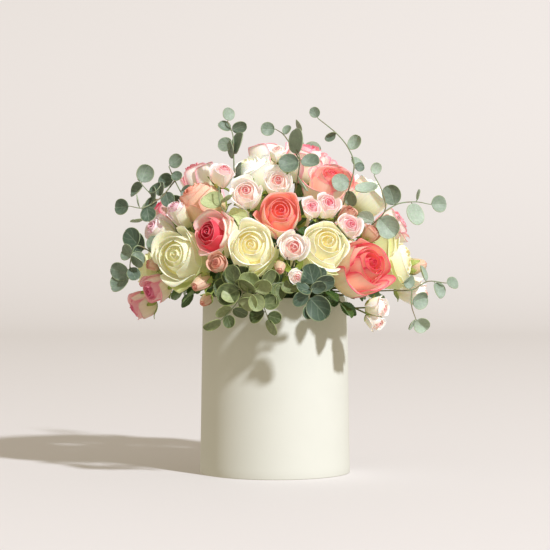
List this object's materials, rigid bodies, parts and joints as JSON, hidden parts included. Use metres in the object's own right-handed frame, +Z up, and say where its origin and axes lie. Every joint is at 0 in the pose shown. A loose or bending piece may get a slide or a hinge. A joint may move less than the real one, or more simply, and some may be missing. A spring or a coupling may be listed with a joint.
{
  "type": "rose box",
  "caption": "Round card hat box filled with a dome of large roses, spray roses and silver-dollar eucalyptus, for standing on a table.",
  "frame": {"origin": "centre of the box's flat foot", "axes": "+Z is up along the box's axis; -Y is the side with the richest blooms"},
  "size_m": [0.4085, 0.3568, 0.4356],
  "materials": {
    "card": "matt ivory paper wrap",
    "liner": "thin cloudy plastic",
    "foam": "soaked open-cell foam",
    "cream_petals": "soft matt petals, white with a greenish yellow heart",
    "coral_petals": "soft matt petals, coral with a cream reverse",
    "peach_petals": "soft matt petals",
    "blush_petals": "soft matt petals, pale with pink edges",
    "deep_pink_petals": "soft matt petals",
    "rose_foliage": "satin leaf",
    "eucalyptus": "waxy grey-green bloom"
  },
  "bodies": {
    "root": {"box": "card", "eucalyptus_back": "eucalyptus", "eucalyptus_back_high": "eucalyptus", "eucalyptus_back_left": "eucalyptus", "eucalyptus_back_right": "eucalyptus", "eucalyptus_crown": "eucalyptus", "eucalyptus_crown_left": "eucalyptus", "eucalyptus_crown_right": "eucalyptus", "eucalyptus_front": "eucalyptus", "eucalyptus_front_right": "eucalyptus", "eucalyptus_left_crown": "eucalyptus", "eucalyptus_left_high": "eucalyptus", "eucalyptus_left_low": "eucalyptus", "eucalyptus_right_high": "eucalyptus", "eucalyptus_right_low": "eucalyptus", "foam": "foam", "liner": "liner", "rose_blush_back": "blush_petals", "rose_blush_right": "blush_petals", "rose_coral_back_left": "coral_petals", "rose_coral_back_right": "coral_petals", "rose_coral_crown": "coral_petals", "rose_coral_front": "coral_petals", "rose_coral_left": "coral_petals", "rose_coral_right": "coral_petals", "rose_deep_pink_left": "deep_pink_petals", "rose_green_white_left": "cream_petals", "rose_greens_back_left": "rose_foliage", "rose_greens_back_right": "rose_foliage", "rose_greens_front": "rose_foliage", "rose_greens_left": "rose_foliage", "rose_greens_right": "rose_foliage", "rose_peach_back": "peach_petals", "rose_peach_left": "peach_petals", "rose_pink_crown": "blush_petals", "rose_pink_crown_left": "blush_petals", "rose_pink_high_left": "blush_petals", "rose_white_back": "cream_petals", "rose_white_back_high": "cream_petals", "rose_white_back_left": "cream_petals", "rose_white_back_right": "cream_petals", "rose_white_crown": "cream_petals", "rose_white_front": "cream_petals", "rose_white_front_right": "cream_petals", "rose_white_high_right": "cream_petals", "rose_white_left": "cream_petals", "rose_white_right": "cream_petals", "spray_back_left": "blush_petals", "spray_back_middle": "blush_petals", "spray_back_right": "blush_petals", "spray_crown_back": "blush_petals", "spray_crown_front": "blush_petals", "spray_far_back_left": "blush_petals", "spray_far_right": "blush_petals", "spray_front_centre": "blush_petals", "spray_front_left": "blush_petals", "spray_left_high": "blush_petals", "spray_left_low": "blush_petals", "spray_right_high": "blush_petals", "spray_right_low": "blush_petals"}
  },
  "joints": []
}
